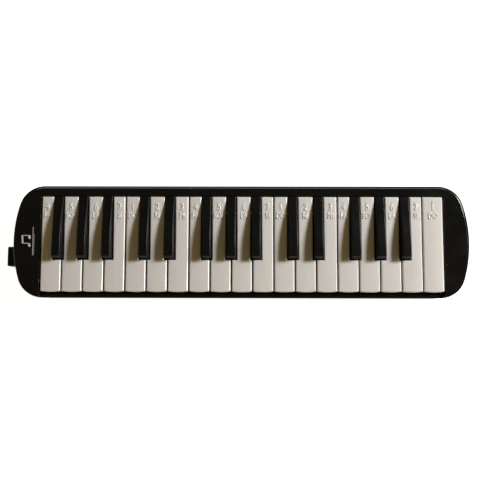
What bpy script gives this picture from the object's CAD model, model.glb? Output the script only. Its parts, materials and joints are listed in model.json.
import json
import math

import bmesh
import bpy
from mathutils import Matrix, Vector


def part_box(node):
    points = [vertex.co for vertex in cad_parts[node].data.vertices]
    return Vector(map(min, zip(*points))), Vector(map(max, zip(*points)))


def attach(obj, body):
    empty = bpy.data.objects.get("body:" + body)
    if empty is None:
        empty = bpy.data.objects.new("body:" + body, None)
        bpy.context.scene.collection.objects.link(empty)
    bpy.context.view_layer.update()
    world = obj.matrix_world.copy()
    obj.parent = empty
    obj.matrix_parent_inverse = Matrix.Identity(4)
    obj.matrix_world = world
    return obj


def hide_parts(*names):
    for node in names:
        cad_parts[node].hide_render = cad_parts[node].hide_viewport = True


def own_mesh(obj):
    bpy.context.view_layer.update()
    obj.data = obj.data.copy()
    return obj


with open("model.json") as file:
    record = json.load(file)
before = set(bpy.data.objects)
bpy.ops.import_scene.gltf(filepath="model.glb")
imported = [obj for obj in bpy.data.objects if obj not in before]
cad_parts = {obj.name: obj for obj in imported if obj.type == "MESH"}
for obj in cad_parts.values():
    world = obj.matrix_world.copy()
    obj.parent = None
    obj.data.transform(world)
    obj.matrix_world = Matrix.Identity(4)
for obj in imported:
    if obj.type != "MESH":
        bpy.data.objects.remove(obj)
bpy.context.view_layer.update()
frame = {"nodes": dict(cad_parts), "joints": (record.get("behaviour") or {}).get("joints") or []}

MM = 0.001
TINY = 1e-7
ROOT = "case"
SHARP = math.radians(32)


# ---------------------------------------------------------------- mesh helpers

def link(name, mesh):
    """A new object that shows a mesh."""
    obj = bpy.data.objects.new(name, mesh)
    bpy.context.scene.collection.objects.link(obj)
    return obj


def from_bmesh(name, bm):
    """A new object from a bmesh, with its faces turned outwards."""
    bmesh.ops.recalc_face_normals(bm, faces=bm.faces)
    mesh = bpy.data.meshes.new(name)
    bm.to_mesh(mesh)
    bm.free()
    return link(name, mesh)


def stack(name, rings):
    """A closed solid through rings of equal length; the first and the last ring are capped."""
    bm = bmesh.new()
    loops = [[bm.verts.new(p) for p in ring] for ring in rings]
    count = len(loops[0])
    for low, high in zip(loops, loops[1:]):
        for i in range(count):
            j = (i + 1) % count
            bm.faces.new((low[i], low[j], high[j], high[i]))
    bm.faces.new(loops[0])
    bm.faces.new(loops[-1])
    return from_bmesh(name, bm)


def block(name, low, high, chamfer=0.0):
    """A box between two corners; its edges are bevelled if a chamfer is given."""
    bm = bmesh.new()
    bmesh.ops.create_cube(bm, size=1.0)
    size = Vector(high) - Vector(low)
    middle = (Vector(high) + Vector(low)) / 2
    for v in bm.verts:
        v.co = Vector(v.co[i] * size[i] + middle[i] for i in range(3))
    if chamfer:
        edges = bm.edges[:]
        bmesh.ops.bevel(bm, geom=edges, offset=chamfer, segments=2, profile=0.5, affect="EDGES")
    return from_bmesh(name, bm)


def circle(centre, radius, axis, along, sides):
    """A ring of points round an axis through a centre, moved along that axis."""
    ring = []
    for i in range(sides):
        a = 2 * math.pi * i / sides
        u, v = radius * math.cos(a), radius * math.sin(a)
        if axis == "x":
            ring.append(Vector((along, centre[0] + u, centre[1] + v)))
        else:
            ring.append(Vector((centre[0] + u, centre[1] + v, along)))
    return ring


def turned(name, centre, profile, axis="z", sides=32):
    """A turned solid: profile lists (radius, distance along the axis)."""
    return stack(name, [circle(centre, r, axis, t, sides) for r, t in profile])


def combine(target, tool, operation):
    """Adds a tool to the target or cuts it away; the tool is used up."""
    mod = target.modifiers.new("combine", "BOOLEAN")
    mod.operation = operation
    mod.object = tool
    mod.solver = "EXACT"
    bpy.context.view_layer.update()
    graph = bpy.context.evaluated_depsgraph_get()
    mesh = bpy.data.meshes.new_from_object(target.evaluated_get(graph))
    target.modifiers.clear()
    old = target.data
    target.data = mesh
    mesh.name = target.name
    bpy.data.meshes.remove(old)
    bpy.data.meshes.remove(tool.data)
    return target


def add(target, tool):
    return combine(target, tool, "UNION")


def cut(target, tool):
    return combine(target, tool, "DIFFERENCE")


def clean(obj):
    """Removes slivers, sets smooth shading with sharp edges and flattens the large faces' normals."""
    bm = bmesh.new()
    bm.from_mesh(obj.data)
    bmesh.ops.remove_doubles(bm, verts=bm.verts, dist=TINY)
    bmesh.ops.dissolve_degenerate(bm, edges=bm.edges, dist=TINY)
    bm.to_mesh(obj.data)
    bm.free()
    mesh = obj.data
    mesh.polygons.foreach_set("use_smooth", [True] * len(mesh.polygons))
    mesh.set_sharp_from_angle(angle=SHARP)
    mod = obj.modifiers.new("weighted", "WEIGHTED_NORMAL")
    mod.keep_sharp = True
    mod.weight = 60
    return obj


def finish_piece(obj, body, slot, material, *nodes):
    """Gives a piece its look, its body, its slot and the CAD nodes that it stands for."""
    obj.data.materials.clear()
    obj.data.materials.append(material)
    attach(obj, body)
    if nodes:
        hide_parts(*nodes)
    return obj


# ---------------------------------------------------------------- materials

class Look:
    """A material's node tree with short calls for the nodes used here."""

    def __init__(self, name):
        self.material = bpy.data.materials.new(name)
        self.material.use_nodes = True
        self.tree = self.material.node_tree
        self.tree.nodes.clear()
        self.out = self.node("ShaderNodeOutputMaterial")
        self.shader = self.node("ShaderNodeBsdfPrincipled")
        self.wire(self.shader.outputs[0], self.out.inputs[0])
        self.coords = self.node("ShaderNodeTexCoord").outputs["Object"]

    def node(self, kind, **settings):
        made = self.tree.nodes.new(kind)
        for key, value in settings.items():
            setattr(made, key, value)
        return made

    def wire(self, a, b):
        self.tree.links.new(a, b)

    def set(self, **sockets):
        for key, value in sockets.items():
            self.shader.inputs[key.replace("_", " ")].default_value = value

    def noise(self, scale, detail=3.0, stretch=(1, 1, 1)):
        """Noise with a scale in cycles per metre."""
        place = self.node("ShaderNodeMapping")
        place.inputs["Scale"].default_value = stretch
        self.wire(self.coords, place.inputs["Vector"])
        made = self.node("ShaderNodeTexNoise")
        made.inputs["Scale"].default_value = scale
        made.inputs["Detail"].default_value = detail
        self.wire(place.outputs[0], made.inputs["Vector"])
        return made.outputs["Fac"]

    def specks(self, scale, size, share):
        """Sparse round specks: 1 inside a speck and 0 elsewhere."""
        cells = self.node("ShaderNodeTexVoronoi")
        cells.inputs["Scale"].default_value = scale
        self.wire(self.coords, cells.inputs["Vector"])
        near = self.node("ShaderNodeMath", operation="LESS_THAN")
        near.inputs[1].default_value = size
        self.wire(cells.outputs["Distance"], near.inputs[0])
        pick = self.node("ShaderNodeSeparateColor")
        self.wire(cells.outputs["Color"], pick.inputs[0])
        rare = self.node("ShaderNodeMath", operation="LESS_THAN")
        rare.inputs[1].default_value = share
        self.wire(pick.outputs[0], rare.inputs[0])
        both = self.node("ShaderNodeMath", operation="MULTIPLY")
        self.wire(near.outputs[0], both.inputs[0])
        self.wire(rare.outputs[0], both.inputs[1])
        return both.outputs[0]

    def ramp(self, value, stops):
        """A colour that runs through stops of (position, colour) as the value rises."""
        made = self.node("ShaderNodeValToRGB")
        first, last = made.color_ramp.elements
        first.position, first.color = stops[0][0], (*stops[0][1], 1)
        last.position, last.color = stops[-1][0], (*stops[-1][1], 1)
        for position, colour in stops[1:-1]:
            made.color_ramp.elements.new(position).color = (*colour, 1)
        self.wire(value, made.inputs[0])
        return made.outputs[0]

    def span(self, value, low, high, from_low=0.3, from_high=0.7):
        """A value stretched so that its usual range runs from low to high."""
        made = self.node("ShaderNodeMapRange")
        made.inputs["From Min"].default_value = from_low
        made.inputs["From Max"].default_value = from_high
        made.inputs["To Min"].default_value = low
        made.inputs["To Max"].default_value = high
        self.wire(value, made.inputs["Value"])
        return made.outputs[0]

    def mix(self, factor, base, colour):
        """Lays a plain colour over a base where the factor is high."""
        factor_in, base_in, colour_in, colour_out = 0, 6, 7, 2
        made = self.node("ShaderNodeMix", data_type="RGBA")
        self.wire(factor, made.inputs[factor_in])
        self.wire(base, made.inputs[base_in])
        made.inputs[colour_in].default_value = (*colour, 1)
        return made.outputs[colour_out]

    def bump(self, *layers):
        """Bumps in layers of (height, strength, depth in metres)."""
        normal = None
        for height, strength, depth in layers:
            made = self.node("ShaderNodeBump")
            made.inputs["Strength"].default_value = strength
            made.inputs["Distance"].default_value = depth
            self.wire(height, made.inputs["Height"])
            if normal:
                self.wire(normal, made.inputs["Normal"])
            normal = made.outputs[0]
        self.wire(normal, self.shader.inputs["Normal"])

    def colour(self, value):
        self.wire(value, self.shader.inputs["Base Color"])

    def roughness(self, value):
        self.rough_value = value
        self.wire(value, self.shader.inputs["Roughness"])


def tone(colour, factor):
    return tuple(c * factor for c in colour)


def moulded(name, colour, rough, grain=0.25, grain_scale=2600, dust=0.0, vary=0.12):
    """Moulded plastic: faint flow marks, a fine grain and, on handled parts, dust specks."""
    look = Look(name)
    flow = look.noise(22, 4, (0.35, 1, 1))
    base = look.ramp(flow, [(0.3, tone(colour, 1 - vary)), (0.7, tone(colour, 1 + vary))])
    if dust:
        base = look.mix(look.specks(310, 0.075, dust), base, (0.32, 0.31, 0.29))
        base = look.mix(look.specks(720, 0.1, dust), base, (0.2, 0.2, 0.19))
    look.colour(base)
    look.roughness(look.span(look.noise(60, 5), rough - 0.05, rough + 0.07))
    fine = (look.noise(grain_scale, 2), grain, 0.00004)
    waves = (look.noise(34, 2), 0.12, 0.0004)
    look.bump(fine, waves)
    return look


def matt_sides(look):
    """Steep faces have a matt texture: they are rougher than the faces that look up or down."""
    split = look.node("ShaderNodeSeparateXYZ")
    look.wire(look.node("ShaderNodeNewGeometry").outputs["Normal"], split.inputs[0])
    level = look.node("ShaderNodeMath", operation="ABSOLUTE")
    look.wire(split.outputs["Z"], level.inputs[0])
    matt = 0.62
    steep = look.span(level.outputs[0], matt, 0.0, from_low=0.3, from_high=0.6)
    rougher = look.node("ShaderNodeMath", operation="MAXIMUM")
    look.wire(steep, rougher.inputs[0])
    look.wire(look.rough_value, rougher.inputs[1])
    look.roughness(rougher.outputs[0])


def case_plastic():
    colour = (0.0028, 0.0031, 0.0031)
    look = moulded("case_black", colour, 0.18, grain=0.12, grain_scale=2300, dust=0.02)
    look.set(IOR=1.5, Specular_Tint=(0.55, 0.58, 0.6, 1))
    matt_sides(look)
    return look.material


def white_plastic(name, gain):
    """Glossy white plastic, faintly cloudy, with a few brown specks; gain sets how pale it is."""
    look = Look(name)
    cloud = look.noise(16, 3, (1, 0.4, 1))
    darker = tone((0.665, 0.65, 0.625), gain)
    paler = tone((0.695, 0.68, 0.655), gain)
    base = look.ramp(cloud, [(0.3, darker), (0.7, paler)])
    base = look.mix(look.specks(260, 0.045, 0.018), base, (0.3, 0.26, 0.2))
    look.colour(base)
    look.roughness(look.span(look.noise(70, 4), 0.2, 0.27))
    waves = (look.noise(55, 2, (1, 0.3, 1)), 0.1, 0.0005)
    fine = (look.noise(1900, 2), 0.1, 0.00003)
    look.bump(waves, fine)
    look.set(Subsurface_Weight=0.35, Subsurface_Scale=0.004, Subsurface_Radius=(1.0, 0.7, 0.35), IOR=1.49,
             Specular_IOR_Level=0.85)
    return look.material


def black_plastic():
    colour = (0.0032, 0.0035, 0.0034)
    look = moulded("black_key_plastic", colour, 0.3, grain=0.08, grain_scale=3000, dust=0.015)
    look.set(IOR=1.5, Specular_Tint=(0.36, 0.375, 0.39, 1))
    matt_sides(look)
    return look.material


def metal(name, colour, rough, stretch, vary=0.06):
    """Drawn or rolled metal: fine lines along one direction and slight tarnish."""
    look = Look(name)
    lines = look.noise(900, 4, stretch)
    stain = look.noise(45, 4)
    look.colour(look.ramp(stain, [(0.3, tone(colour, 1 - 2 * vary)), (0.7, tone(colour, 1 + vary))]))
    look.roughness(look.span(lines, rough - 0.06, rough + 0.1))
    look.bump((lines, 0.2, 0.00002))
    look.set(Metallic=1.0)
    return look.material


def felt_cloth():
    look = Look("red_felt")
    fibre = look.noise(2400, 5)
    look.colour(look.ramp(fibre, [(0.25, (0.16, 0.012, 0.018)), (0.75, (0.4, 0.05, 0.06))]))
    look.bump((fibre, 0.8, 0.0003), (look.noise(300, 3), 0.4, 0.0004))
    look.set(Roughness=0.95, Sheen_Weight=0.4, Sheen_Roughness=0.5)
    return look.material


def rubber_skin():
    look = Look("black_rubber")
    bloom = look.noise(120, 4)
    look.colour(look.ramp(bloom, [(0.3, (0.012, 0.012, 0.012)), (0.75, (0.035, 0.034, 0.032))]))
    look.roughness(look.span(bloom, 0.6, 0.8))
    look.bump((look.noise(1500, 3), 0.2, 0.00005))
    return look.material


def gasket_sheet():
    look = Look("gasket_board")
    fibre = look.noise(700, 6, (1, 1, 0.2))
    look.colour(look.ramp(fibre, [(0.3, (0.2, 0.11, 0.055)), (0.7, (0.36, 0.22, 0.12))]))
    look.bump((fibre, 0.5, 0.0001))
    look.set(Roughness=0.85)
    return look.material


def print_ink():
    look = Look("pale_print")
    wear = look.noise(420, 4)
    look.colour(look.ramp(wear, [(0.25, (0.42, 0.42, 0.43)), (0.6, (0.66, 0.66, 0.67))]))
    look.roughness(look.span(wear, 0.35, 0.5))
    look.bump((look.noise(2300, 2), 0.2, 0.00002))
    return look.material


CASE = case_plastic()
WHITE = white_plastic("white_key_plastic", 1.0)
MARK = white_plastic("raised_mark_plastic", 1.14)
BLACK = black_plastic()
SCREW = metal("zinc_screw", (0.56, 0.56, 0.58), 0.34, (1, 1, 0.2))
STEEL = metal("drawn_steel", (0.62, 0.63, 0.65), 0.26, (0.05, 1, 1))
BRASS = metal("rolled_brass", (0.72, 0.53, 0.2), 0.3, (0.1, 1, 1), 0.08)
BRONZE = metal("spring_bronze", (0.72, 0.42, 0.2), 0.28, (1, 0.1, 1), 0.08)
FELT = felt_cloth()
RUBBER = rubber_skin()
GASKET = gasket_sheet()
PRINT = print_ink()
DUCT = moulded("duct_plastic", (0.045, 0.045, 0.05), 0.45).material
CHEST = moulded("chest_plastic", (0.6, 0.585, 0.54), 0.42, grain=0.15).material
CHASSIS = moulded("chassis_plastic", (0.02, 0.02, 0.022), 0.5).material

# The CAD nodes that the visual model shows as they are, each with its look.
CARRIED = {
    "air_duct": DUCT, "plenum_tray": CHEST, "chamber_block": CHEST, "chest_gasket": GASKET,
    "reed_plate_bass": BRASS, "reed_plate_treble": BRASS, "bass_reeds": BRONZE, "treble_reeds": BRONZE,
    "reed_rivets": BRASS, "reed_plate_screws": SCREW, "key_chassis": CHASSIS, "chassis_screws": SCREW,
    "key_pivot_rod": STEEL, "rod_clips": STEEL, "front_stop_felt": FELT,
    "middle_stop_felt": FELT, "socket_seal_ring": RUBBER, "drain_seal": RUBBER,
}
for node_name, node_material in CARRIED.items():
    node_mesh = frame["nodes"][node_name].data
    node_mesh.materials.clear()
    node_mesh.materials.append(node_material)


# ---------------------------------------------------------------- sizes from the frame

class Key:
    """A key's places, from its CAD box and its hinge."""

    def __init__(self, joint):
        self.name = joint["child"]
        self.black = self.name.startswith("black")
        low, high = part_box(self.name)
        self.left, self.right = low.x, high.x
        self.front, self.top = low.y, high.z
        self.tail_end, self.bottom = high.y, low.z
        self.tail, self.rod_y, self.rod_z = joint["pos_m"]
        self.middle = (self.left + self.right) / 2


KEYS = sorted((Key(j) for j in frame["joints"] if j["type"] == "hinge"), key=lambda k: k.tail)
WHITES = [k for k in KEYS if not k.black]
BLACKS = [k for k in KEYS if k.black]
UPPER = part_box("upper_case")
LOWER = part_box("lower_case")

SEAM = LOWER[1].z
CASE_TOP = UPPER[1].z
CASE_MID = (UPPER[0].x + UPPER[1].x) / 2
HALF_LEN = (UPPER[1].x - UPPER[0].x) / 2
HALF_WIDTH = (UPPER[1].y - UPPER[0].y) / 2
WHITE_TOP = WHITES[0].top
FRONT = WHITES[0].front
ROD_Y, ROD_Z = WHITES[0].rod_y, WHITES[0].rod_z
TAIL_END = WHITES[0].tail_end
REAR = TAIL_END - 6.6 * MM
FIELD = (WHITES[0].left - 0.3 * MM, WHITES[-1].right + 0.3 * MM)
NOTCH = BLACKS[0].front - 0.9 * MM
GAP = 0.6 * MM

# The case walls and edges.
WALL = 2.4 * MM
EDGE = 2.6 * MM
END_R = 118 * MM
CORNER_R = 23.5 * MM
FLOOR_T = 2.2 * MM
RAIL_TOP = 32.5 * MM
RAIL_W = 3.6 * MM
RAIL_LIP = 4 * MM
FRONT_GAP = 1.5 * MM
RIM_Y = REAR + 0.4 * MM

# The keys' skins, skirts and levers.
SKIN_T = 2.2 * MM
SKIRT_T = 1.3 * MM
SKIRT_Z = 33.5 * MM
LIP_T = 1.6 * MM
LIP_Z = 30 * MM
CUT_FRONT = ROD_Y - 4.5 * MM
CUT_Z = WHITE_TOP - SKIN_T - 0.2 * MM
SPINE_Z = 31 * MM
TAIL_TOP = 34.4 * MM
TAIL_HALF = 3.8 * MM
SPINE_HALF = 2.5 * MM
BARREL_R = 3.7 * MM
BARREL_HALF = 3.9 * MM
BORE_R = 1.58 * MM

# The black keys' shape and the stub's section.
BLACK_SLIM = 0.3 * MM
BLACK_TAPER = 7.6 / 8.6
BLACK_SLOPE = 1.9 * MM
BLACK_NARROW = 0.3 * MM
BLACK_LEAST = 0.02 * MM
STUB_HALF_Y = 9.1 * MM
STUB_HALF_Z = 8 * MM


# ---------------------------------------------------------------- case

def arc(cx, cy, r, a0, a1, steps):
    """Points along an arc round a centre, from angle a0 to angle a1."""
    angles = [a0 + (a1 - a0) * i / steps for i in range(steps + 1)]
    return [(cx + r * math.cos(a), cy + r * math.sin(a)) for a in angles]


def case_ring(inset, z):
    """The case's outline, bowed ends and round corners, drawn in by inset at height z."""
    side = HALF_WIDTH - CORNER_R
    reach = math.sqrt((END_R - CORNER_R) ** 2 - side ** 2)
    cx = HALF_LEN - END_R
    lean = math.atan2(side, reach)
    half = (arc(cx + reach, -side, CORNER_R - inset, -math.pi / 2, -lean, 16)
            + arc(cx, 0, END_R - inset, -lean, lean, 20)
            + arc(cx + reach, side, CORNER_R - inset, lean, math.pi / 2, 16))
    whole = half + [(-x, -y) for x, y in half]
    return [Vector((CASE_MID + x, y, z)) for x, y in whole]


def rounding(radius, steps):
    """Pairs of (inset, rise) along a quarter round, from the wall to the flat."""
    angles = [math.pi / 2 * i / steps for i in range(steps + 1)]
    return [(radius * (1 - math.cos(a)), radius * math.sin(a)) for a in angles]


# Pairs of (inset, rise) along the upper case's top edge, as shares of its size.
EDGE_SHARES = ((0, 0), (0.02, 0.24), (0.07, 0.46), (0.14, 0.6), (0.22, 0.69), (0.6, 0.87),
               (0.95, 0.985), (1, 1))
CASE_EDGE = [(inset * EDGE, rise * EDGE) for inset, rise in EDGE_SHARES]


def flared_box(name, low, high, flare):
    """A cutting box whose top opens out by flare over its last stretch below the case top."""
    rings = []
    for grow, z in ((0, low[2]), (0, CASE_TOP - flare), (flare, CASE_TOP), (flare, high[2])):
        x0, x1 = low[0] - grow, high[0] + grow
        y0, y1 = low[1] - grow, high[1] + grow
        rings.append([Vector((x, y, z)) for x, y in ((x0, y0), (x1, y0), (x1, y1), (x0, y1))])
    return stack(name, rings)


def socket_window():
    """Tool for the case's opening round the stub, a little larger than the stub."""
    low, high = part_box("mouthpiece_socket")
    gap = 0.1 * MM
    half_w, half_h = STUB_HALF_Y + gap, STUB_HALF_Z + gap
    mid_y, mid_z = (low.y + high.y) / 2, (low.z + high.z) / 2
    return block("window", (UPPER[0].x - MM, mid_y - half_w, mid_z - half_h),
                 (UPPER[0].x + 8 * MM, mid_y + half_w, mid_z + half_h))


SCREW_LOW, SCREW_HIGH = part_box("case_screws")


def screw_spots():
    """Centres of the six case screws, found as the separate bits of their CAD node."""
    reach = 8 * MM
    screws = []
    for v in frame["nodes"]["case_screws"].data.vertices:
        point = v.co.xy.copy()
        for points in screws:
            if (points[0] - point).length < reach:
                points.append(point)
                break
        else:
            screws.append([point])
    found = []
    for points in screws:
        xs = [p.x for p in points]
        ys = [p.y for p in points]
        found.append(((min(xs) + max(xs)) / 2, (min(ys) + max(ys)) / 2))
    return sorted(found)


SCREWS = screw_spots()
SEAM_GAP = 0.35 * MM


def upper_case():
    """Cover: rounded top edge, key opening with a chamfer, low front rail and screw towers."""
    rings = [case_ring(WALL, CASE_TOP - WALL), case_ring(WALL, SEAM)]
    rings += [case_ring(SEAM_GAP, SEAM), case_ring(0, SEAM + SEAM_GAP)]
    rings += [case_ring(i, CASE_TOP - EDGE + r) for i, r in CASE_EDGE]
    shell = stack("upper_case_shell", rings)

    above = CASE_TOP + 5 * MM
    side_gap = 0.5 * MM
    flare = 0.45 * MM
    low = (FIELD[0] - side_gap, FRONT - FRONT_GAP, SEAM - MM)
    high = (FIELD[1] + side_gap, RIM_Y, above)
    cut(shell, flared_box("opening", low, high, flare))

    # The cut that lowers the front wall to the rail, drawn across the case as (y, z).
    round_r = 1.0 * MM
    bevel = 0.4 * MM
    beyond = 2 * MM
    inner_y = FRONT - FRONT_GAP
    rail = [(-HALF_WIDTH - beyond, RAIL_TOP - round_r), (-HALF_WIDTH, RAIL_TOP - round_r)]
    rail += [(-HALF_WIDTH + i, RAIL_TOP - round_r + r) for i, r in rounding(round_r, 6)[1:]]
    rail += [(inner_y - bevel, RAIL_TOP), (inner_y, RAIL_TOP - bevel)]
    rail += [(inner_y + beyond, RAIL_TOP - bevel), (inner_y + beyond, above)]
    rail.append((-HALF_WIDTH - beyond, above))
    ends = (low[0], high[0])
    cut(shell, stack("rail_cut", [[Vector((x, y, z)) for y, z in rail] for x in ends]))
    lip_low = (low[0], -HALF_WIDTH + WALL / 2, RAIL_TOP - RAIL_LIP)
    lip_high = (high[0], -HALF_WIDTH + RAIL_W, RAIL_TOP - bevel)
    add(shell, block("rail_lip", lip_low, lip_high, 0.3 * MM))

    tower_r, tower_top = 3.6 * MM, CASE_TOP - 1.2 * MM
    pilot_r, pilot_top = 1.2 * MM, CASE_TOP - WALL - 6 * MM
    for spot in SCREWS:
        add(shell, turned("tower", spot, [(tower_r, SEAM), (tower_r, tower_top)]))
        cut(shell, turned("pilot", spot, [(pilot_r, SEAM - MM), (pilot_r, pilot_top)], sides=20))
    cut(shell, socket_window())
    return finish_piece(clean(shell), ROOT, "case_black", CASE, "upper_case")


def lower_case():
    """Tray: rounded foot, screw pockets, chassis posts, chest ribs and the drain guide."""
    rings = [case_ring(i, EDGE - r) for i, r in rounding(EDGE, 8)][::-1]
    rings += [case_ring(0, SEAM - SEAM_GAP), case_ring(SEAM_GAP, SEAM)]
    rings += [case_ring(WALL, SEAM), case_ring(WALL, FLOOR_T)]
    shell = stack("lower_case_tray", rings)

    # What stands on the tray starts halfway through its floor.
    base = 1.1 * MM
    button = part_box("drain_button")
    drain = ((button[0].x + button[1].x) / 2, (button[0].y + button[1].y) / 2)
    guide_r, guide_top = 6.4 * MM, 4.4 * MM
    add(shell, turned("guide", drain, [(guide_r, base), (guide_r, guide_top)]))

    # Each post stands between a key and the next one, and each rib under a key.
    post_keys, post_ys = (2, 10, 19, 27), (FRONT + 18 * MM, FRONT + 50 * MM)
    post = [(3.6 * MM, base), (3.6 * MM, 20 * MM)]
    pilot = [(0.9 * MM, 12 * MM), (0.9 * MM, 21 * MM)]
    for k in post_keys:
        x = (KEYS[k].tail + KEYS[k + 1].tail) / 2
        for y in post_ys:
            add(shell, turned("post", (x, y), post))
            cut(shell, turned("pilot", (x, y), pilot, sides=20))

    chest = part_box("plenum_tray")
    rib_keys = (1, 9, 17, 25)
    for k in rib_keys:
        x = KEYS[k].tail
        rib_low = (x - MM, chest[0].y + MM, base)
        rib_high = (x + MM, chest[1].y - MM, chest[0].z)
        add(shell, block("rib", rib_low, rib_high))

    tower_r = 4 * MM
    pocket = [(3.5 * MM, -MM), (3.5 * MM, 0), (3.1 * MM, 0.4 * MM), (3.1 * MM, 10 * MM)]
    hole = [(1.4 * MM, 9 * MM), (1.4 * MM, SEAM + MM)]
    for spot in SCREWS:
        add(shell, turned("tower", spot, [(tower_r, base), (tower_r, SEAM)]))
        cut(shell, turned("pocket", spot, pocket))
        cut(shell, turned("hole", spot, hole, sides=20))
    drain_hole = [(5.1 * MM, -MM), (5.1 * MM, 0), (4.59 * MM, 0.5 * MM), (4.59 * MM, 5 * MM)]
    cut(shell, turned("drain_hole", drain, drain_hole, sides=48))
    cut(shell, socket_window())
    return finish_piece(clean(shell), ROOT, "case_black", CASE, "lower_case")


def rounded_rect(half_y, half_z, r, mid_y, mid_z, x):
    """A ring of points round a rectangle with round corners, which stands across X."""
    steps = 6
    corners = ((1, 1, 0), (-1, 1, 90), (-1, -1, 180), (1, -1, 270))
    ring = []
    for sy, sz, start in corners:
        a0, a1 = math.radians(start), math.radians(start + 90)
        for y, z in arc(sy * (half_y - r), sz * (half_z - r), r, a0, a1, steps):
            ring.append(Vector((x, mid_y + y, mid_z + z)))
    return ring


def mouthpiece_socket():
    """Squared stub with rounded edges and a shallow groove round it, a flange and a bored nose."""
    low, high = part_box("mouthpiece_socket")
    mid_y, mid_z = (low.y + high.y) / 2, (low.z + high.z) / 2
    wall_x = UPPER[0].x
    corner = 1.6 * MM

    def section(grow, x, corner_r=corner):
        """The stub's outline, made larger by grow, at x."""
        return rounded_rect(STUB_HALF_Y + grow, STUB_HALF_Z + grow, corner_r, mid_y, mid_z, x)

    round_r = 0.9 * MM
    most_drop = 0.8 * MM
    flange_x = (wall_x + 5.6 * MM, wall_x + 8.2 * MM)
    rings = []
    for i, r in rounding(round_r, 5)[::-1]:
        rings.append(section(-i, low.x + round_r - r, corner - min(i, most_drop)))
    rings.append(section(0, flange_x[1]))
    socket = stack("mouthpiece_socket_body", rings)
    flange_low = (flange_x[0], low.y, low.z)
    flange_high = (flange_x[1], high.y, high.z)
    add(socket, block("flange", flange_low, flange_high, 0.3 * MM))
    nose = [(7 * MM, wall_x + 7 * MM), (7 * MM, high.x - 0.6 * MM), (6.4 * MM, high.x)]
    add(socket, turned("nose", (mid_y, mid_z), nose, axis="x", sides=48))

    groove_depth = 0.35 * MM
    groove = stack("groove", [section(MM, low.x + x * MM) for x in (2.2, 2.8)])
    core = stack("core", [section(-groove_depth, low.x + x * MM) for x in (2.0, 3.0)])
    cut(socket, cut(groove, core))
    bore_r = 5.0 * MM
    bevel = 0.8 * MM
    bore = [(bore_r + bevel, low.x - MM), (bore_r + bevel, low.x)]
    bore += [(bore_r, low.x + bevel), (bore_r, high.x + MM)]
    cut(socket, turned("bore", (mid_y, mid_z), bore, axis="x", sides=48))
    return finish_piece(clean(socket), ROOT, "case_black", CASE, "mouthpiece_socket")


# ---------------------------------------------------------------- keys

def lever(x, front):
    """Spine, tail and barrel of a key; the spine reaches a little into the skin above it."""
    spine_high = (x + SPINE_HALF, REAR - 0.6 * MM, WHITE_TOP - SKIN_T + 0.3 * MM)
    spine = block("lever", (x - SPINE_HALF, front, SPINE_Z), spine_high)
    tail_low = (x - TAIL_HALF, ROD_Y, SPINE_Z)
    tail_high = (x + TAIL_HALF, TAIL_END, TAIL_TOP)
    add(spine, block("tail", tail_low, tail_high, 0.3 * MM))
    barrel = [(BARREL_R, x - BARREL_HALF), (BARREL_R, x + BARREL_HALF)]
    add(spine, turned("barrel", (ROD_Y, ROD_Z), barrel, axis="x"))
    return spine


def rod_bore(x):
    """Tool for the bore of a key's barrel, longer than the barrel at both ends."""
    reach = 12 * MM
    return turned("bore", (ROD_Y, ROD_Z), [(BORE_R, x - reach), (BORE_R, x + reach)], axis="x")


def white_plan(key, stem, inset, front_inset, notch_inset, rear_inset, round_r, bulge):
    """Plan outline of a white key as (x, y), drawn in by the insets, with the notches beside its stem."""
    left, right = key.left + inset, key.right - inset
    stem_l, stem_r = stem[0] + inset, stem[1] - inset
    front, notch, rear = FRONT + front_inset, NOTCH - notch_inset, REAR - rear_inset
    notched_l, notched_r = stem[0] - key.left > MM, key.right - stem[1] > MM

    # The bowed front edge, from left to right.
    front_steps, corner_steps = 8, 5
    half = (right - left) / 2 - round_r
    middle = (left + right) / 2
    outline = []
    for i in range(front_steps + 1):
        t = -1 + 2 * i / front_steps
        outline.append((middle + t * half, front + bulge * t * t))

    # Two points on each side where the front lip ends, and two where the rear cut starts.
    corner_y = front + bulge + round_r
    lip_ys = (max(FRONT + LIP_T + 0.3 * MM, corner_y + 0.02 * MM),
              max(FRONT + LIP_T + 0.6 * MM, corner_y + 0.04 * MM))
    cut_ys = (CUT_FRONT, CUT_FRONT + 0.3 * MM)
    at_cut = (CUT_FRONT - NOTCH) / (REAR - NOTCH)

    # The right side, from the front to the rear; the stem widens towards the rear beside a notch.
    outline += arc(right - round_r, corner_y, round_r, -math.pi / 2, 0, corner_steps)[1:]
    outline += [(right, y) for y in lip_ys]
    wide = BLACK_NARROW if notched_r else 0
    if notched_r:
        outline += [(right, notch), (stem_r, notch)]
    outline += [(stem_r + wide * at_cut, y) for y in cut_ys]
    outline.append((stem_r + wide, rear))

    # The left side, from the rear to the front.
    wide = BLACK_NARROW if notched_l else 0
    outline.append((stem_l - wide, rear))
    outline += [(stem_l - wide * at_cut, y) for y in cut_ys[::-1]]
    if notched_l:
        outline += [(stem_l, notch), (left, notch)]
    outline += [(left, y) for y in lip_ys[::-1]]
    outline += arc(left + round_r, corner_y, round_r, math.pi, 1.5 * math.pi, corner_steps)[:-1]
    return outline


def skirt_bottom(y):
    """Height of a white key's lower edge at a place along the key."""
    if y > CUT_FRONT + 0.1 * MM:
        return CUT_Z
    if y > FRONT + LIP_T + 0.45 * MM:
        return SKIRT_Z
    return LIP_Z


def stem_of(key):
    """Left and right side of a white key's stem, set by the black keys beside it."""
    left, right = key.left, key.right
    for other in BLACKS:
        if other.left < key.left + MM < other.right + MM and other.right > key.left:
            left = other.right + GAP - BLACK_SLIM
        if other.right > key.right - MM and other.left < key.right:
            right = other.left - GAP + BLACK_SLIM
    return left, right


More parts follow.
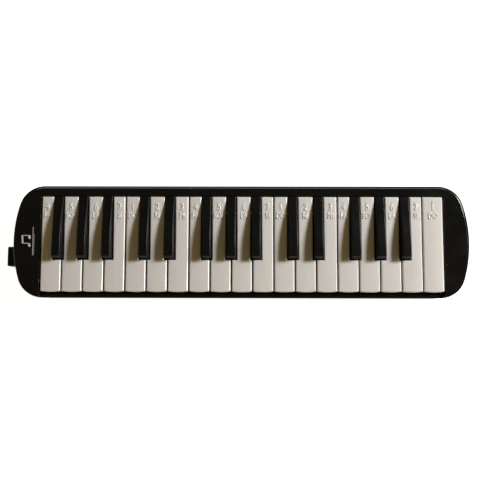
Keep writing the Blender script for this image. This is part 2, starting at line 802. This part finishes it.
# Pairs of (inset, drop) in millimetres along the rounding of a white key's top edge.
TOP_EDGE_MM = ((0.34, 1), (0.36, 0.66), (0.42, 0.46), (0.53, 0.33), (0.8, 0.17), (1.04, 0.055), (1.2, 0))
TOP_EDGE = [(inset * MM, drop * MM) for inset, drop in TOP_EDGE_MM]
CORNER = 0.9 * MM
BULGE = 0.5 * MM
CROWN = 0.34 * MM


def crown_drop(key, x):
    """How far a white key's slightly convex top lies below its middle line at a place across it."""
    u = (x - key.middle) * 2 / (key.right - key.left)
    return CROWN * min(u * u, 1)


def crown_top(obj, key):
    """Cuts a white key's cap into strips along the key and bends its top to the crown."""
    strips = 10
    depth = 1.2 * MM
    bm = bmesh.new()
    bm.from_mesh(obj.data)
    for i in range(1, strips):
        x = key.left + (key.right - key.left) * i / strips
        parts = bm.verts[:] + bm.edges[:] + bm.faces[:]
        bmesh.ops.bisect_plane(bm, geom=parts, plane_co=(x, 0, 0), plane_no=(1, 0, 0), dist=TINY)
    for v in bm.verts:
        if v.co.z > WHITE_TOP - depth:
            v.co.z -= crown_drop(key, v.co.x)
    bm.to_mesh(obj.data)
    bm.free()


def white_key(key):
    """A white key: a skirted cap with rounded edges and a crowned top, on its lever."""
    stem = stem_of(key)
    outer = white_plan(key, stem, TOP_EDGE[0][0], 0, 0, 0, CORNER, BULGE)
    lower = [Vector((x, y, skirt_bottom(y))) for x, y in outer]
    rings = [lower]
    for inset, drop in TOP_EDGE:
        rear_inset, corner_r = inset * 1.2, CORNER - inset * 0.2
        plan = white_plan(key, stem, inset, inset, inset, rear_inset, corner_r, BULGE)
        rings.append([Vector((x, y, WHITE_TOP - drop)) for x, y in plan])
    inner_corner, inner_bulge = 0.2 * MM, 0.05 * MM
    inner = white_plan(key, stem, SKIRT_T, LIP_T, SKIRT_T, SKIRT_T, inner_corner, inner_bulge)
    inner_low = [Vector((x, y, edge.z)) for (x, y), edge in zip(inner, lower)]
    inner_top = [Vector((x, y, WHITE_TOP - SKIN_T)) for x, y in inner]
    cap = stack(key.name + "_cap", [inner_top, inner_low] + rings)
    crown_top(cap, key)
    add(cap, lever(key.tail, FRONT + LIP_T / 2))
    cut(cap, rod_bore(key.tail))
    return finish_piece(clean(cap), key.name, "white_key", WHITE, key.name)


def black_height(d):
    """Rise of a black key over the white ones at a distance in front of its rear end."""
    swell_length = 50 * MM
    rear_rise = 0.3 * MM
    swell = math.sin(math.pi / 2 * min(d / swell_length, 1)) ** 1.1
    rise = BLACKS[0].top - WHITE_TOP
    return rear_rise + (rise - rear_rise) * swell


def black_section(key, y, height, half_low, half_top, bottom):
    """Cross-section of a black key: flanks that lean in and a round-edged top."""
    top = WHITE_TOP + height
    rise = max(top - WHITE_TOP, BLACK_LEAST)
    half = half_low + (half_top - half_low) * rise / (key.top - WHITE_TOP)
    # The edge's rounding is an ellipse, wider than it is high, and lower where the key is low.
    high = min(0.55 * MM, rise * 0.9)
    wide = high * 1.4
    steps = 8
    right = [(half_low, bottom), (half_low, WHITE_TOP - 0.4 * MM)]
    for i in range(steps + 1):
        a = math.radians(90 * i / steps)
        right.append((half - wide + wide * math.cos(a), top - high + high * math.sin(a)))
    ring = right + [(-x, z) for x, z in reversed(right)]
    return [Vector((key.middle + x, y, z)) for x, z in ring]


def black_key(key):
    """A black key: a steep nose, then a top that sinks towards the rear, on its lever."""
    half_low = (key.right - key.left) / 2 - BLACK_SLIM
    half_top = half_low * BLACK_TAPER
    rise = key.top - WHITE_TOP
    length = REAR - key.front
    nose_steps, top_steps = 11, 24
    stations = []
    for i in range(nose_steps):
        t = i / nose_steps
        stations.append((key.front + BLACK_SLOPE * t, min(rise * t + BLACK_LEAST, rise)))
    for i in range(top_steps + 1):
        d = length - BLACK_SLOPE - (length - BLACK_SLOPE) * (i / top_steps)
        stations.append((REAR - d, black_height(d)))
    rings = []
    for y, height in stations:
        bottom = CUT_Z if y > CUT_FRONT else SKIRT_Z
        slim = BLACK_NARROW * (y - key.front) / length
        rings.append(black_section(key, y, height, half_low - slim, half_top - slim, bottom))
    cap = stack(key.name + "_cap", rings)
    hollow_low = (key.left + SKIRT_T, key.front + LIP_T, SKIRT_Z - MM)
    hollow_high = (key.right - SKIRT_T, CUT_FRONT - LIP_T, WHITE_TOP - SKIN_T)
    cut(cap, block("hollow", hollow_low, hollow_high))
    add(cap, lever(key.tail, key.front + LIP_T / 2))
    cut(cap, rod_bore(key.tail))
    return finish_piece(clean(cap), key.name, "black_key", BLACK, key.name)


def pallet_pad(key):
    """Felt pad under the key's tail."""
    low = (key.tail - TAIL_HALF, REAR - 5 * MM, key.bottom)
    high = (key.tail + TAIL_HALF, REAR + 4.6 * MM, SPINE_Z)
    pad = block("pallet_pad_" + key.name, low, high, 0.3 * MM)
    return finish_piece(clean(pad), key.name, "felt", FELT)


def text_mesh(body, size, narrow, centre, z, relief):
    """Raised lettering in the built-in face, as a mesh that stands on a surface; its strokes are thinned."""
    curve = bpy.data.curves.new("mark", "FONT")
    curve.body = body
    curve.size = size
    curve.align_x = "CENTER"
    curve.align_y = "CENTER"
    curve.offset = -0.16 * MM
    curve.extrude = 0.02 * MM
    curve.bevel_depth = relief
    curve.bevel_resolution = 1
    curve.resolution_u = 3
    obj = bpy.data.objects.new("mark", curve)
    bpy.context.scene.collection.objects.link(obj)
    obj.location = (centre[0], centre[1], z)
    obj.scale.x = narrow
    bpy.context.view_layer.update()
    graph = bpy.context.evaluated_depsgraph_get()
    mesh = bpy.data.meshes.new_from_object(obj.evaluated_get(graph))
    mesh.transform(obj.matrix_world)
    bpy.data.objects.remove(obj)
    bpy.data.curves.remove(curve)
    return mesh


def join(name, meshes):
    """One object from several meshes, which are used up."""
    bm = bmesh.new()
    for mesh in meshes:
        bm.from_mesh(mesh)
        bpy.data.meshes.remove(mesh)
    return from_bmesh(name, bm)


SYLLABLES = {"c": "DO", "d": "RE", "e": "MI", "f": "FA", "g": "SOL", "a": "LA", "b": "SI"}
DEGREES = {"c": 1, "d": 2, "e": 3, "f": 4, "g": 5, "a": 6, "b": 7}


def key_marks(key):
    """Raised scale number, octave dots and note name on the rear of a white key."""
    letter, octave = key.name.split("_")[-2:]
    stem = stem_of(key)
    x = (stem[0] + stem[1]) / 2
    relief = 0.5 * MM
    z = WHITE_TOP
    number_y = REAR - 9.8 * MM
    name_y = number_y - 8 * MM
    number_size, number_narrow = 8.4 * MM, 0.86
    name_size, name_narrow = 7.7 * MM, 0.71
    meshes = [
        text_mesh(str(DEGREES[letter]), number_size, number_narrow, (x, number_y), z, relief),
        text_mesh(SYLLABLES[letter], name_size, name_narrow, (x, name_y), z, relief),
    ]

    # Dots below the number in the octave under the middle one, and above it in the octaves over it.
    shift = {"3": -4.4, "4": 0, "5": 4.2, "6": 4.2}[octave] * MM
    dot_step = 1.3
    for i in range(abs(int(octave) - 4)):
        dot_y = number_y + shift + i * dot_step * MM * (1 if shift > 0 else -1)
        dot = turned("dot", (x, dot_y), [(0.5 * MM, z), (0.42 * MM, z + relief)], sides=12)
        meshes.append(dot.data)
        bpy.data.objects.remove(dot)
    marks = join("key_marks_" + key.name, meshes)
    for v in marks.data.vertices:
        v.co.z -= crown_drop(key, v.co.x)
    return finish_piece(marks, key.name, "white_key", MARK)


# ---------------------------------------------------------------- small parts

def case_screw_set():
    """Six pan-head screws with a cross recess, deep in their pockets."""
    meshes = []
    head_low = SCREW_LOW.z
    head_high = head_low + 1.8 * MM
    recess_top = head_low + 0.9 * MM
    shank_r = 1.2 * MM
    profile = [(1.6 * MM, head_low), (2.3 * MM, head_low + 0.25 * MM), (2.75 * MM, head_low + 0.8 * MM)]
    profile += [(2.8 * MM, head_high), (shank_r, head_high)]
    profile += [(shank_r, SCREW_HIGH.z - MM), (0.4 * MM, SCREW_HIGH.z)]
    arm_long, arm_wide = 1.5, 0.28
    for x, y in SCREWS:
        screw = turned("screw", (x, y), profile)
        for a, b in ((arm_long, arm_wide), (arm_wide, arm_long)):
            recess_low = (x - a * MM, y - b * MM, head_low - MM)
            recess_high = (x + a * MM, y + b * MM, recess_top)
            cut(screw, block("recess", recess_low, recess_high))
        meshes.append(screw.data)
        bpy.data.objects.remove(screw)
    screws = join("case_screw_set", meshes)
    return finish_piece(clean(screws), ROOT, "screw_steel", SCREW, "case_screws")


def drain_button():
    """Drain button with a dished face and a stem up to the seal."""
    low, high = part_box("drain_button")
    centre = ((low.x + high.x) / 2, (low.y + high.y) / 2)
    r = (high.x - low.x) / 2
    stem_r = 1.5 * MM
    cap_top = low.z + 2.6 * MM
    profile = [(0.5 * MM, low.z + 0.5 * MM), (r - 1.6 * MM, low.z + 0.35 * MM), (r - 0.9 * MM, low.z)]
    profile += [(r - 0.4 * MM, low.z), (r, low.z + 0.4 * MM), (r, cap_top)]
    profile += [(stem_r, cap_top), (stem_r, high.z)]
    button = turned("drain_button_cap", centre, profile, sides=48)
    return finish_piece(clean(button), "drain_valve", "chest_plastic", CHEST, "drain_button")


def leaf_spring(key):
    """Leaf spring under a key's lever: a foot on the chassis and a bent arm, which gives with the key."""
    low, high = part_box("key_springs")
    thick = 0.35 * MM
    tip = high.z - 0.02 * MM
    tip_drop = 0.15 * MM
    # The side view, as pairs of (millimetres behind the rod, height): the lower face, then the upper one.
    side = [(-28, low.z), (-21, low.z), (-9.4, tip - thick), (-8.6, tip - thick)]
    side += [(-6, tip - thick - tip_drop), (-6, tip - tip_drop)]
    side += [(-8.5, tip), (-9.5, tip), (-21.2, low.z + thick), (-28, low.z + thick)]
    foot_middle = low.z + thick / 2
    rings = []
    # Pairs of (millimetres across the key, share by which the foot is thinner there).
    for x, pinch in ((-1.5, 0.06), (-1.44, 0), (1.44, 0), (1.5, 0.06)):
        ring = []
        for y, z in side:
            if z < low.z + MM:
                z += (foot_middle - z) * pinch
            ring.append(Vector((key.tail + x * MM, key.rod_y + y * MM, z)))
        rings.append(ring)
    shape = clean(stack("leaf_spring_" + key.name, rings))
    leaf = finish_piece(shape, ROOT, "reed_bronze", BRONZE, "key_springs")
    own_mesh(leaf)
    return leaf


def drain_coil():
    """Coil spring of the drain valve, which shortens when the button goes in."""
    low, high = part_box("drain_spring")
    cx, cy = (low.x + high.x) / 2, (low.y + high.y) / 2
    wire_r = 0.33 * MM
    coil_r = 3 * MM
    end_gap = 0.4 * MM
    turns = 4
    steps = 24
    sides = 8
    rings = []
    for i in range(turns * steps + 1):
        a = 2 * math.pi * i / steps
        z = low.z + end_gap + (high.z - low.z - 2 * end_gap) * i / (turns * steps)
        ring = []
        for j in range(sides):
            b = 2 * math.pi * j / sides
            r = coil_r + wire_r * math.cos(b)
            ring.append(Vector((cx + r * math.cos(a), cy + r * math.sin(a), z + wire_r * math.sin(b))))
        rings.append(ring)
    coil = finish_piece(clean(stack("drain_coil", rings)), ROOT, "rod_steel", STEEL, "drain_spring")
    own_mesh(coil)
    return coil


def note_head(u):
    """Outline of a tilted oval note head in the sign's coordinates."""
    half_long, half_short, tilt, v = 1.75, 1.2, 0.35, -2.8
    points = []
    for i in range(24):
        t = 2 * math.pi * i / 24
        along, across = half_long * math.cos(t), half_short * math.sin(t)
        points.append((u + along * math.cos(tilt) - across * math.sin(tilt),
                       v + along * math.sin(tilt) + across * math.cos(tilt)))
    return points


def note_pictogram():
    """Pale printed sign on the bass end: a pair of beamed notes over two ruled lines."""
    base = Vector((UPPER[0].x + 12.4 * MM, 1.3 * MM))
    low_z, thick = CASE_TOP - 0.02 * MM, 0.07 * MM
    stretch_u, stretch_v = 1.12, 0.95

    def place(u, v, z):
        """Sign coordinates in millimetres, with u along the reading line, which runs to the case's rear."""
        return Vector((base.x - stretch_v * v * MM, base.y + stretch_u * u * MM, z))

    shapes = []
    for u in (-4.2, 2.2):
        left, right, foot, head = u + 1.05, u + 1.55, -2.5, 3.8 + 0.1 * u
        shapes.append(note_head(u))
        shapes.append([(left, foot), (right, foot), (right, head), (left, head)])
    beam = [(-3.15, 2.7), (3.75, 3.4), (3.75, 4.9), (-3.15, 4.2)]
    upper_rule = [(-12.5, -6.3), (10.5, -6.3), (10.5, -5.9), (-12.5, -5.9)]
    lower_rule = [(-12.5, -7.3), (4.5, -7.3), (4.5, -7.05), (-12.5, -7.05)]
    shapes += [beam, upper_rule, lower_rule]
    meshes = []
    for shape in shapes:
        part = stack("part", [[place(u, v, z) for u, v in shape] for z in (low_z, low_z + thick)])
        meshes.append(part.data)
        bpy.data.objects.remove(part)
    sign = join("note_pictogram", meshes)
    return finish_piece(sign, ROOT, "case_black", PRINT)


# ---------------------------------------------------------------- build

CASE_PIECES = [upper_case(), lower_case(), mouthpiece_socket()]
WHITE_PIECES = []
for each_key in WHITES:
    WHITE_PIECES += [white_key(each_key), key_marks(each_key)]
for each_key in BLACKS:
    black_key(each_key)
for each_key in KEYS:
    pallet_pad(each_key)
    leaf_spring(each_key)
case_screw_set()
drain_button()
drain_coil()
note_pictogram()


# ---------------------------------------------------------------- studio

def studio_floor():
    """A wide pale floor that is bright mostly by its own glow, so that it stays near white."""
    look = Look("studio_floor")
    look.set(Roughness=0.9, Emission_Color=(1, 1, 1, 1), Emission_Strength=0.95)
    look.colour(look.ramp(look.noise(3, 2), [(0.3, (0.86, 0.86, 0.86)), (0.7, (0.88, 0.88, 0.88))]))
    bm = bmesh.new()
    half_side = 6
    bmesh.ops.create_grid(bm, x_segments=2, y_segments=2, size=half_side)
    floor = from_bmesh("studio_floor", bm)
    floor.location.z = -0.02 * MM
    floor.data.materials.append(look.material)


def lamp(name, azimuth, elevation, distance, size, power, colour):
    """A disc lamp that faces the object; azimuth is counted from +X towards +Y."""
    data = bpy.data.lights.new(name, "AREA")
    data.shape = "DISK"
    data.size = size
    data.energy = power
    data.color = colour
    obj = bpy.data.objects.new(name, data)
    bpy.context.scene.collection.objects.link(obj)
    a, e = math.radians(azimuth), math.radians(elevation)
    way = Vector((math.cos(a) * math.cos(e), math.sin(a) * math.cos(e), math.sin(e)))
    obj.location = way * distance
    obj.rotation_mode = "QUATERNION"
    obj.rotation_quaternion = way.to_track_quat("Z", "Y")
    return obj


def gleam_on(light, pieces):
    """Lets a lamp add only a gleam, and only to some pieces."""
    light.visible_diffuse = False
    lit = bpy.data.collections.new(light.name + "_lit")
    for piece in pieces:
        lit.objects.link(piece)
    light.light_linking.receiver_collection = lit


def studio_lights(case_pieces, white_pieces):
    """One lamp that casts the shadows and two that only add gleams to some of the pieces."""
    pale = (1.0, 0.99, 0.98)
    key = lamp("key_light", azimuth=24, elevation=37.2, distance=2.1, size=0.55, power=7.3,
               colour=(1.0, 0.985, 1.0))
    key.location.x += 0.06
    key.data.spread = math.radians(66)
    edge = lamp("edge_light", azimuth=-3, elevation=42, distance=1.0, size=0.16, power=5.8, colour=pale)
    gleam_on(edge, white_pieces)
    panel = lamp("rear_panel", azimuth=90, elevation=42, distance=2.2, size=2.6, power=19, colour=pale)
    panel.data.shape = "RECTANGLE"
    panel.data.size_y = 0.6
    gleam_on(panel, case_pieces)


def studio_sky():
    """A dim warm sky for the object; the camera itself sees a pale one."""
    world = bpy.data.worlds.new("studio")
    bpy.context.scene.world = world
    world.use_nodes = True
    tree = world.node_tree
    sky = tree.nodes["Background"]
    sky.inputs[0].default_value = (1.0, 0.74, 0.34, 1)
    sky.inputs[1].default_value = 0.15
    backdrop = tree.nodes.new("ShaderNodeBackground")
    backdrop.inputs[0].default_value = (1, 1, 1, 1)
    seen = tree.nodes.new("ShaderNodeMixShader")
    tree.links.new(tree.nodes.new("ShaderNodeLightPath").outputs["Is Camera Ray"], seen.inputs[0])
    tree.links.new(sky.outputs[0], seen.inputs[1])
    tree.links.new(backdrop.outputs[0], seen.inputs[2])
    tree.links.new(seen.outputs[0], tree.nodes["World Output"].inputs[0])


def camera():
    """A camera nearly straight above the object, a little towards the player's side."""
    data = bpy.data.cameras.new("camera")
    data.sensor_width = 36
    data.lens = 50
    data.clip_start = 0.01
    obj = bpy.data.objects.new("camera", data)
    bpy.context.scene.collection.objects.link(obj)
    obj.location = (7.08 * MM, -56.04 * MM, 639 * MM)
    obj.rotation_euler = (0.09523, 0.00556, 0.0023)
    bpy.context.scene.camera = obj


studio_floor()
studio_lights(CASE_PIECES, WHITE_PIECES)
studio_sky()
camera()
bpy.context.scene.view_settings.view_transform = "Standard"
